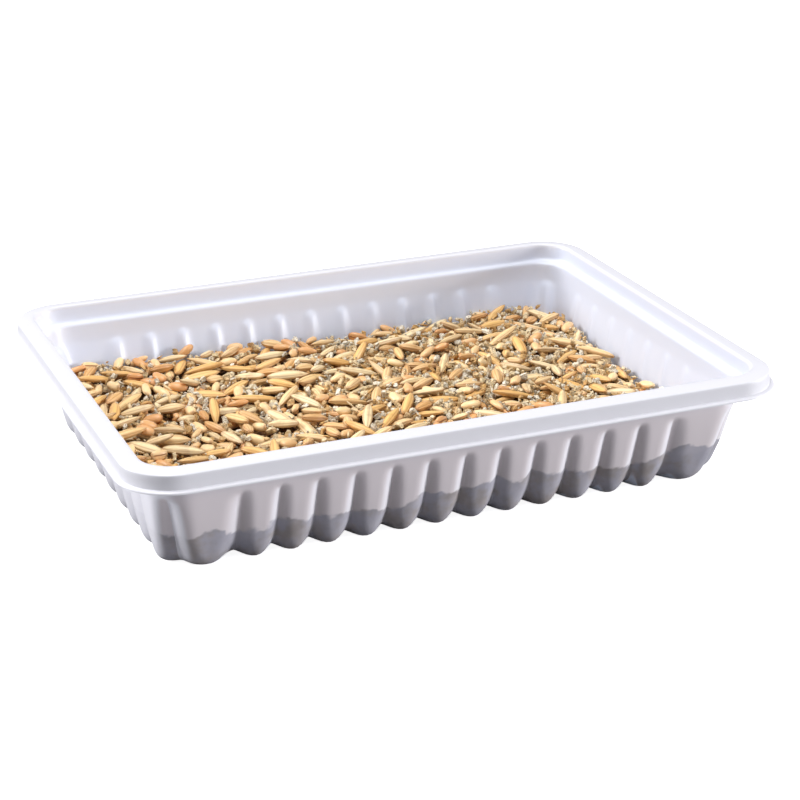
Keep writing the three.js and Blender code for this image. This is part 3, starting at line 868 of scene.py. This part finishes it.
class Templates:
    """Models each repeated shape once."""

    def __init__(self, chance: np.random.Generator) -> None:
        """Keeps the source of the random draws.

        Args:
            chance: The random source.
        """
        self.chance = chance

    def _read(self, obj: bpy.types.Object, points: np.ndarray) -> Template:
        """Reads a modelled object into a template and removes the object."""
        by_size: dict = {}
        for face in obj.data.polygons:
            by_size.setdefault(len(face.vertices), []).append(list(face.vertices))
        bpy.data.objects.remove(obj)
        return Template(points, [np.array(rows) for rows in by_size.values()])

    def _ball(self, segments: int, rings: int) -> tuple:
        """Adds a ball whose poles lie on the X axis and returns it with its points."""
        bpy.ops.mesh.primitive_uv_sphere_add(segments=segments, ring_count=rings, radius=1.0)
        ball = bpy.context.object
        with editing():
            bpy.ops.mesh.select_all(action="SELECT")
            bpy.ops.transform.rotate(value=math.pi / 2, orient_axis="Y", center_override=(0, 0, 0))
        return ball, np.array([v.co for v in ball.data.vertices])

    def grain(self, kind: GrainKind) -> Template:
        """Models a grain.

        Args:
            kind: Which kind.

        Returns:
            The template, from -1 to 1 along X.
        """
        ball, p = self._ball(8, 8)
        x = np.clip(p[:, 0], -1, 1)
        size = np.hypot(p[:, 1], p[:, 2])
        size[size < 1e-6] = 1.0
        y, z = p[:, 1] / size, p[:, 2] / size
        bend = self.chance.uniform(-0.12, 0.12)
        if kind is GrainKind.OAT:
            width = np.where(x < 0, (1 - x**2) ** 0.48, (1 - np.abs(x) ** 1.9) ** 0.78)
            z = np.where(z < 0, z * 0.8, z)
        elif kind is GrainKind.BARLEY:
            width = np.where(x < 0, (1 - x**2) ** 0.55, (1 - np.abs(x) ** 1.8) ** 0.75)
        else:
            width = (1 - np.abs(x) ** 2.5) ** 0.5 * (1 - 0.07 * x)
            z = np.where(z < -0.9, -0.55, z)
        y = y * width + bend * (1 - x**2)
        z = z * width
        return self._read(ball, np.stack([x, y, z], 1))

    def stack(self) -> Template:
        """Models a granule: a short stack of uneven plates.

        Returns:
            The template.
        """
        ball, p = self._ball(7, 5)
        x = p[:, 0]
        rings = np.unique(np.round(x, 3))
        ring = np.searchsorted(rings, np.round(x, 3))
        pole = (ring == 0) | (ring == len(rings) - 1)
        layer = np.clip(ring - 1, 0, 3)
        place = np.array([-0.85, -0.3, 0.25, 0.85])[layer]
        spread = self.chance.uniform(0.7, 1.1, 4)[layer]
        shift = self.chance.uniform(-0.16, 0.16, (4, 2))[layer]
        turn = np.arctan2(p[:, 2], p[:, 1])
        uneven = spread * (1 + 0.14 * np.sin(turn * 2 + layer) + 0.08 * np.sin(turn * 3 - layer))
        uneven = np.where(pole, 0.0, uneven)
        y = uneven * np.cos(turn) + shift[:, 0]
        z = uneven * np.sin(turn) + shift[:, 1]
        slope = self.chance.uniform(-0.3, 0.3, 2)
        return self._read(ball, np.stack([place + slope[0] * y + slope[1] * z, y, z], 1))

    def crumb(self) -> Template:
        """Models a crumb: an uneven lump.

        Returns:
            The template.
        """
        bpy.ops.mesh.primitive_ico_sphere_add(subdivisions=1, radius=1.0)
        lump = bpy.context.object
        points = np.array([v.co for v in lump.data.vertices])
        points = points * self.chance.uniform(0.65, 1.15, (len(points), 1))
        return self._read(lump, points)


def turn_of(yaw: float, rise: float, roll: float) -> np.ndarray:
    """Gives the turn of a grain that lies along X.

    Args:
        yaw: Turn about the vertical.
        rise: Angle that its far end is lifted by.
        roll: Turn about its own length.

    Returns:
        A 3 by 3 matrix.
    """
    aimed = Matrix.Rotation(yaw, 3, "Z") @ Matrix.Rotation(-rise, 3, "Y")
    return np.array(aimed @ Matrix.Rotation(roll, 3, "X"))


class Ground:
    """The growing surface of the mix, as heights on a fine grid of the plan."""

    PITCH = 0.4
    REACH_LONG, REACH_SHORT = 86.0, 63.0
    START_BELOW = 4.2
    # The finished level: its height, what it rises by to the back, swells by and falls by.
    LEVEL = 12.5
    BACK_RISE = 2.0
    SWELL = 0.45
    RIGHT_FALL = 0.013
    HALF_MIX = 57.0
    # How many stretches a grain's length is felt in, and the gap that it keeps to the wall.
    BINS = 15
    WALL_GAP = 0.2
    # How far the surface has to stand above a copy that is then left out.
    BURIED = 0.6
    # A height where there is no surface, and one that only the room outside the wall has.
    NOWHERE = 99.0
    OFF_TRAY = 40.0
    # How much of a granule's cap raises the surface, and the steps that it tries downhill.
    SUNK = 0.8
    STEPS = ((0, 0), (2, 0), (-2, 0), (0, 2), (0, -2), (1, 1), (-1, -1), (1, -1), (-1, 1))

    def __init__(self, form: TrayForm) -> None:
        """Lays the starting surface below the finished level.

        Args:
            form: The tray's measures.
        """
        self.wide = int(2 * self.REACH_LONG / self.PITCH)
        self.deep = int(2 * self.REACH_SHORT / self.PITCH)
        xs = -self.REACH_LONG + np.arange(self.wide) * self.PITCH
        ys = -self.REACH_SHORT + np.arange(self.deep) * self.PITCH
        self.x, self.y = np.meshgrid(xs, ys, indexing="ij")
        self.wall = form.inner_height(self.x, self.y)
        self.top = np.maximum(self.target(self.x, self.y) - self.START_BELOW, self.wall)

    @classmethod
    def target(cls, x, y):
        """Gives the finished level of the mix."""
        swell = np.sin(x / 19 + 0.6) * np.cos(y / 15 - 0.4) + 0.6 * np.sin((x - y) / 27)
        slope = cls.RIGHT_FALL * x * (y + cls.HALF_MIX) / (2 * cls.HALF_MIX)
        return cls.LEVEL + cls.BACK_RISE / cls.HALF_MIX * y + cls.SWELL * swell - slope

    def cell(self, x, y) -> tuple:
        """Gives the numbers of the grid's cells at places of the plan, as whole arrays."""
        i = np.round((np.asarray(x) + self.REACH_LONG) / self.PITCH).astype(int)
        j = np.round((np.asarray(y) + self.REACH_SHORT) / self.PITCH).astype(int)
        return np.clip(i, 0, self.wide - 1), np.clip(j, 0, self.deep - 1)

    def window(self, x: float, y: float, reach: float) -> tuple:
        """Gives the slices of the grid within reach of a point."""
        i, j = self.cell(x, y)
        return self._around(i, j, int(math.ceil(reach / self.PITCH)))

    def _around(self, i: int, j: int, n: int) -> tuple:
        """Gives the slices of n cells on each side of a cell, or nothing past the grid."""
        if i - n < 0 or j - n < 0 or i + n >= self.wide or j + n >= self.deep:
            return ()
        return slice(i - n, i + n + 1), slice(j - n, j + n + 1)

    def rest(self, x: float, y: float, yaw: float, half: tuple, steepest: float) -> tuple:
        """Lets a long grain down until it rests on the surface at two places.

        Args:
            x: Place of its middle.
            y: Place of its middle.
            yaw: Turn of its length.
            half: Half its length, width and height.
            steepest: The steepest slope that it may take.

        Returns:
            Height of its middle, its slope, and the room and body for place(), or nothing.
        """
        a, b, c = half
        room = self.window(x, y, a)
        if not room:
            return ()
        dx, dy = self.x[room] - x, self.y[room] - y
        u = dx * math.cos(yaw) + dy * math.sin(yaw)
        v = -dx * math.sin(yaw) + dy * math.cos(yaw)
        body = 1 - (u / a) ** 2 - (v / b) ** 2
        inside = body > 0.02
        lift = c * np.sqrt(np.clip(body, 0, None))
        need = self.top[room][inside] + lift[inside]
        bins = ((u[inside] + a) / (2 * a) * self.BINS).astype(int)
        centres = (np.arange(self.BINS) + 0.5) / self.BINS * 2 * a - a
        highest = np.full(self.BINS, -10 * self.NOWHERE)
        np.maximum.at(highest, np.clip(bins, 0, self.BINS - 1), need)
        middle = self.BINS // 2
        left, right = slice(0, middle), slice(middle + 1, self.BINS)
        ul, ur = centres[left][:, None], centres[right][None, :]
        hl, hr = highest[left][:, None], highest[right][None, :]
        at_middle = (hl * ur - hr * ul) / (ur - ul)
        back, ahead = np.unravel_index(np.argmax(at_middle), at_middle.shape)
        ahead += middle + 1
        slope = (highest[ahead] - highest[back]) / (centres[ahead] - centres[back])
        slope = float(np.clip(slope, -steepest, steepest))
        height = float(np.max(highest - slope * centres))
        return height, slope, (room, inside, u, lift)

    def clear(self, middle: tuple, yaw: float, slope: float, half: tuple) -> bool:
        """Tells whether a body stays off the tray's wall.

        Args:
            middle: The body's middle.
            yaw: Turn of its length.
            slope: Its slope.
            half: Half its length, width and height.

        Returns:
            True if none of its tested points lies in the wall.
        """
        u, v = np.meshgrid((-0.97, -0.6, 0.0, 0.6, 0.97), (-1.0, 0.0, 1.0), indexing="ij")
        u, v = u * half[0], v * half[1] * np.sqrt(1 - u**2)
        x = middle[0] + u * math.cos(yaw) - v * math.sin(yaw)
        y = middle[1] + u * math.sin(yaw) + v * math.cos(yaw)
        return bool(np.all(middle[2] + slope * u > self.wall[self.cell(x, y)] + self.WALL_GAP))

    def place(self, height: float, slope: float, held: tuple) -> None:
        """Raises the surface by a grain that was let down."""
        room, inside, u, lift = held
        above = height + slope * u + lift
        self.top[room] = np.where(inside, np.maximum(self.top[room], above), self.top[room])

    def buried(self, place: tuple, reach: float) -> bool:
        """Tells whether a body at a place ended up well under the finished surface.

        Args:
            place: The body's middle.
            reach: Its radius.

        Returns:
            True if the surface stands clear above it at its middle and on four sides.
        """
        steps = np.array([(0, 0), (1, 0), (-1, 0), (0, 1), (0, -1)]) * reach
        over = self.top[self.cell(place[0] + steps[:, 0], place[1] + steps[:, 1])]
        return bool(over.min() > place[2] + reach + self.BURIED)

    def roll(self, x: float, y: float, radius: float, steps: int = 5) -> tuple:
        """Lets a round granule roll downhill.

        Args:
            x: Where it starts.
            y: Where it starts.
            radius: Its radius.
            steps: How many times it may move.

        Returns:
            The x, y and height of its middle, or nothing if it left the tray.
        """
        n = max(1, int(round(radius / self.PITCH)))
        span = np.arange(-n, n + 1) * self.PITCH
        du, dv = np.meshgrid(span, span, indexing="ij")
        cap = np.where(du**2 + dv**2 < (radius + 0.1) ** 2, 0.0, -self.NOWHERE)
        cap = cap + np.sqrt(np.clip(radius**2 - du**2 - dv**2, 0, None))
        at = self.cell(x, y)
        best = math.inf
        for _ in range(steps):
            found = None
            for di, dj in self.STEPS:
                room = self._around(at[0] + di, at[1] + dj, n)
                height = float(np.max(self.top[room] + cap)) if room else math.inf
                if height < best - 1e-6:
                    best, found = height, (at[0] + di, at[1] + dj)
            if found is None:
                break
            at = found
        if best > self.OFF_TRAY:
            return ()
        room = self._around(*at, n)
        under = np.where(cap > -self.NOWHERE / 2, best + cap * self.SUNK, -self.NOWHERE)
        self.top[room] = np.maximum(self.top[room], under)
        return float(self.x[at]), float(self.y[at]), best


@dataclass
class Lay:
    """The copies of one kind, each with its size, turn, place and own chance."""

    copies: list = field(default_factory=list)

    def add(self, size: tuple, turn: np.ndarray, place: tuple, chance: float) -> None:
        """Adds a copy."""
        self.copies.append((size, turn, place, chance))

    def drop_buried(self, ground: Ground) -> None:
        """Takes out the copies that nothing can be seen of."""
        self.copies = [c for c in self.copies if not ground.buried(c[2], max(c[0]))]

    def mesh(self, name: str, templates: list) -> bpy.types.Object:
        """Writes all copies into one mesh, taking the templates in turn.

        Args:
            name: The piece's name.
            templates: The shapes.

        Returns:
            The object.
        """
        sizes, turns, places, chances = (np.array(values) for values in zip(*self.copies))
        points, local, chance, faces, done = [], [], [], {}, 0
        for k, template in enumerate(templates):
            mine = slice(k, None, len(templates))
            count = len(sizes[mine])
            if not count:
                continue
            scaled = template.points[None] * sizes[mine][:, None]
            moved = np.einsum("nij,nkj->nki", turns[mine], scaled) + places[mine][:, None]
            points.append(moved.reshape(-1, 3))
            local.append(np.broadcast_to(template.points, scaled.shape).reshape(-1, 3))
            chance.append(np.repeat(chances[mine], len(template.points)))
            steps = done + np.arange(count) * len(template.points)
            for face in template.faces:
                copies = face[None] + steps[:, None, None]
                faces.setdefault(face.shape[1], []).append(copies.reshape(-1, face.shape[1]))
            done += count * len(template.points)
        owned = {"local": np.vstack(local), "chance": np.concatenate(chance)}
        return mesh_piece(name, np.vstack(points), [np.vstack(f) for f in faces.values()], owned)


@dataclass
class Mix:
    """The dry mix: a crumb bed with painted shade, grains of three kinds and vermiculite granules.
    """

    form: TrayForm = field(default_factory=TrayForm)
    rounds: int = 2
    grains_a_round: int = 540
    granules_a_round: int = 2000
    crumbs: int = 3000
    husk_bits: int = 900
    shapes_of_each: int = 4
    # A draw below the first is an oat grain, one below the second wheat, and the rest barley.
    oat_below: float = 0.56
    wheat_below: float = 0.79
    # Half the room that each kind falls in, and how far over the finished level it may lie.
    grain_room: tuple = (78.0, 56.0)
    granule_room: tuple = (80.0, 58.0)
    bit_room: tuple = (79.0, 57.0)
    grain_over: float = 1.4
    granule_over: float = 1.3
    bit_over: float = 1.2
    bit_slope: float = 0.6
    rolled_over: float = 0.25
    spots: int = 5
    slopes: tuple = (0.14, 0.25, 0.55)
    slope_shares: tuple = (0.42, 0.38, 0.2)
    stretches: tuple = ((1.5, 0.72, 0.72), (0.42, 1.2, 0.95), (0.95, 0.9, 0.8), (0.7, 1.1, 0.7))
    bed_below: float = 3.4
    bed_gap: float = 0.4

    def build(self) -> None:
        """Lays the mix and writes its pieces."""
        chance = np.random.default_rng(SEED)
        ground = Ground(self.form)
        lays = {kind: Lay() for kind in GrainKind}
        granules, crumbs, bits = Lay(), Lay(), Lay()
        for _ in range(self.rounds):
            self._granules(ground, chance, granules, self.granules_a_round, (0.5, 1.2))
            self._grains(ground, chance, lays, self.grains_a_round)
        self._granules(ground, chance, granules, self.granules_a_round * 2, (0.45, 1.1))
        self._husk_bits(ground, chance, bits)
        self._granules(ground, chance, crumbs, self.crumbs, (0.3, 0.55))
        granules.drop_buried(ground)
        crumbs.drop_buried(ground)
        shapes = Templates(chance)
        smooth, flat = bpy.ops.object.shade_smooth, bpy.ops.object.shade_flat
        barley = OatHusk(pale=linear(247, 214, 160), gold=linear(227, 176, 114), ribs=7.0)
        finishes = {
            GrainKind.OAT: OatHusk().build("oat_husk"),
            GrainKind.BARLEY: barley.build("barley_husk"),
            GrainKind.WHEAT: WheatSkin().build("wheat_skin"),
        }
        each = range(self.shapes_of_each)
        for kind, lay in lays.items():
            grains = lay.mesh(kind.name.lower() + "_grains", [shapes.grain(kind) for _ in each])
            self._dress(grains, finishes[kind], smooth)
        stone = Vermiculite().build("vermiculite")
        stacks = [shapes.stack() for _ in each]
        self._dress(granules.mesh("vermiculite_granules", stacks + [shapes.crumb()]), stone, flat)
        for name, lay, finish, shade in (
            ("vermiculite_crumbs", crumbs, stone, flat),
            ("husk_bits", bits, finishes[GrainKind.OAT], smooth),
        ):
            self._dress(lay.mesh(name, [shapes.crumb() for _ in each]), finish, shade)
        # The bed: crumbs and dust, darkened as painted shade in the gaps between the grains.
        self._dress(self._bed(ground), CrumbsInPaintedShade().build("crumbs_in_painted_shade"), smooth)

    @staticmethod
    def _dress(piece: bpy.types.Object, finish: bpy.types.Material, shade) -> None:
        """Shades a piece smooth or flat and gives it its finish."""
        pick(piece)
        shade()
        finish_piece(piece, finish, "seed_mix")

    @staticmethod
    def _spots(chance: np.random.Generator, room: tuple, count: int | None = None) -> tuple:
        """Draws places in the room that a kind may fall in, or one place without a count."""
        return chance.uniform(-room[0], room[0], count), chance.uniform(-room[1], room[1], count)

    def _grains(self, ground: Ground, chance: np.random.Generator, lays: dict, count: int) -> None:
        """Lets grains fall where the surface is low."""
        laid = tries = 0
        while laid < count and tries < count * 6:
            tries += 1
            draw = chance.random()
            rest = GrainKind.WHEAT if draw < self.wheat_below else GrainKind.BARLEY
            kind = GrainKind.OAT if draw < self.oat_below else rest
            half = tuple(0.5 * chance.uniform(*span) for span in kind.value)
            xs, ys = self._spots(chance, self.grain_room, self.spots)
            low = np.argmin(ground.top[ground.cell(xs, ys)] - ground.target(xs, ys))
            x, y = xs[low], ys[low]
            if chance.random() > 0.78 - 0.3 * math.tanh(x / 30):
                continue
            yaw = chance.uniform(0, math.pi * 2)
            steepest = chance.choice(self.slopes, p=self.slope_shares)
            found = ground.rest(x, y, yaw, half, steepest)
            if not found:
                continue
            height, slope, held = found
            if height > ground.target(x, y) + self.grain_over:
                continue
            if not ground.clear((x, y, height), yaw, slope, half):
                continue
            ground.place(height, slope, held)
            roll = chance.normal(0, 0.3) + (math.pi if chance.random() < self.rolled_over else 0.0)
            if kind is GrainKind.WHEAT:
                roll = roll * 1.6
                half = (half[0], half[1], half[2] * 0.94)
            turn = turn_of(yaw, math.atan(slope), roll)
            lays[kind].add(half, turn, (x, y, height), chance.random())
            laid += 1
        log.info("laid %d grains in %d tries", laid, tries)

    def _granules(
        self, ground: Ground, chance: np.random.Generator, lay: Lay, count: int, span: tuple
    ) -> None:
        """Lets granules of a span of radii fall and roll into the gaps."""
        for _ in range(count):
            x, y = self._spots(chance, self.granule_room)
            share = 0.72 + 0.35 * np.clip((x + 20) / 60, -1, 1) + 0.2 * y / 58
            if chance.random() > share:
                continue
            radius = chance.uniform(*span)
            found = ground.roll(x, y, radius)
            if not found:
                continue
            over = self.granule_over + 0.6 * np.clip(x / 50, 0, 1)
            if found[2] > ground.target(found[0], found[1]) + over:
                continue
            if not ground.clear(found, 0.0, 0.0, (radius * 1.4,) * 3):
                continue
            stretch = np.array(self.stretches[chance.integers(len(self.stretches))])
            stretch = stretch * chance.uniform(0.85, 1.15, 3)
            turn = turn_of(*chance.uniform(0, math.pi * 2, 3))
            lay.add(tuple(radius * stretch), turn, found, chance.random())

    def _husk_bits(self, ground: Ground, chance: np.random.Generator, lay: Lay) -> None:
        """Lets broken bits of husk and grain fall on the surface."""
        for _ in range(self.husk_bits):
            x, y = self._spots(chance, self.bit_room)
            half = tuple(chance.uniform(*span) for span in ((0.9, 2.2), (0.45, 0.9), (0.25, 0.5)))
            yaw = chance.uniform(0, math.pi * 2)
            found = ground.rest(x, y, yaw, half, self.bit_slope)
            if not found or found[0] > ground.target(x, y) + self.bit_over:
                continue
            if not ground.clear((x, y, found[0]), yaw, found[1], half):
                continue
            ground.place(*found)
            turn = turn_of(yaw, math.atan(found[1]), chance.uniform(-0.6, 0.6))
            lay.add(half, turn, (x, y, found[0]), chance.random())

    def _bed(self, ground: Ground) -> bpy.types.Object:
        """Makes the closed bed of crumbs under the grains, dark as painted shade of the gaps.

        Args:
            ground: The surface of the mix.

        Returns:
            The bed.
        """
        heights = np.arange(1.5, 17.0, 1.0)
        keys = self.form.wall_rows()[::-1]
        rows = []
        for z in heights:
            inset = [np.interp(z, keys[:, 2], keys[:, k]) for k in range(5)]
            gap = self.bed_gap
            rows.append((inset[0] + gap, inset[1] + gap, z, inset[3], inset[4]))
        walls = np.stack([self.form.ring(np.array(row))[::2] for row in rows])
        start = ground.target(walls[-1][:, 0], walls[-1][:, 1]) - self.bed_below
        rings = []
        for z in heights:
            level = np.minimum(z, start)
            edge = [
                [np.interp(level[n], heights, walls[:, n, k]) for k in (0, 1)]
                for n in range(len(level))
            ]
            rings.append(np.column_stack([np.array(edge), level]))
        rim = rings[-1]
        for share in (0.94, 0.86, 0.76, 0.64, 0.5, 0.35, 0.2, 0.08):
            inner = rim[:, :2] * share
            level = ground.target(inner[:, 0], inner[:, 1]) - self.bed_below
            rings.append(np.column_stack([inner, level]))
        count, wide = len(rings), len(rim)
        here = np.arange(wide)
        there = np.roll(here, -1)
        band = np.stack([here, there, there + wide, here + wide], 1)
        bands = np.vstack([band + k * wide for k in range(count - 1)])
        caps = [here[::-1][None], ((count - 1) * wide + here)[None]]
        return mesh_piece("crumb_bed_in_painted_shade", np.vstack(rings), [bands, *caps])


@dataclass(frozen=True)
class PhotoCamera:
    """The place, the turn and the lens of the camera that took the photo."""

    place: tuple = (-204.15, -516.14, 235.69)
    yaw: float = 0.3860
    pitch: float = 0.3787
    roll: float = -0.0058
    focal_px: float = 2120.28
    picture_px: float = 800.0
    sensor: float = 36.0

    def build(self) -> None:
        """Adds the camera and makes it the scene's."""
        forward = Vector((
            math.sin(self.yaw) * math.cos(self.pitch),
            math.cos(self.yaw) * math.cos(self.pitch),
            -math.sin(self.pitch),
        ))
        level = Vector((math.cos(self.yaw), -math.sin(self.yaw), 0.0))
        lift = level.cross(forward)
        right = math.cos(self.roll) * level + math.sin(self.roll) * lift
        up = -math.sin(self.roll) * level + math.cos(self.roll) * lift
        bpy.ops.object.camera_add(location=Vector(self.place) * MM)
        camera = bpy.context.object
        camera.name = "photo_camera"
        turn = Matrix((right, up, -forward)).transposed()
        camera.rotation_mode = "QUATERNION"
        camera.rotation_quaternion = turn.to_quaternion()
        camera.data.lens = self.focal_px * self.sensor / self.picture_px
        camera.data.sensor_width = self.sensor
        camera.data.clip_start = 0.01
        camera.data.clip_end = 50.0
        bpy.context.scene.camera = camera


@dataclass(frozen=True)
class Lamp:
    """A soft lamp aimed at the tray."""

    name: str
    place: tuple
    size: float
    power: float

    def build(self) -> None:
        """Adds the lamp and aims it."""
        bpy.ops.object.light_add(type="AREA", location=self.place)
        lamp = bpy.context.object
        lamp.name = self.name
        lamp.data.size = self.size
        lamp.data.energy = self.power
        aim = Vector(AIM) - Vector(self.place)
        lamp.rotation_euler = aim.to_track_quat("-Z", "Y").to_euler()


@dataclass(frozen=True)
class Studio:
    """The floor, the soft light and the camera."""

    lamps: tuple = (
        Lamp("top_lamp", (-0.15, 0.2, 1.6), 0.6, 17.0),
        Lamp("left_lamp", (-1.35, 0.75, 0.65), 0.6, 24.0),
        Lamp("right_lamp", (1.42, -0.62, 0.2), 0.4, 24.0),
        Lamp("front_lamp", (-0.45, -0.75, 1.45), 0.6, 9.0),
    )
    around: tuple = (0.125, 0.125, 0.13, 1.0)

    def build(self) -> None:
        """Adds the floor, the lamps and the light from around, and sets plain colours."""
        bpy.ops.mesh.primitive_plane_add(size=12.0, location=(0, 0, 0))
        floor = bpy.context.object
        floor.name = "floor"
        floor.data.materials.append(StudioFloor().build("pale_floor"))
        for lamp in self.lamps:
            lamp.build()
        world = bpy.data.worlds.new("light_tent")
        world.use_nodes = True
        world.node_tree.nodes["Background"].inputs["Color"].default_value = self.around
        bpy.context.scene.world = world
        bpy.context.scene.view_settings.view_transform = "Standard"
        PhotoCamera().build()


def main() -> None:
    """Builds the tray, its mix and the studio."""
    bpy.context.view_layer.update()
    Tray().build()
    Mix().build()
    Studio().build()


if __name__ == "__main__":
    logging.basicConfig(level=logging.INFO, format="%(name)s: %(message)s")
    main()
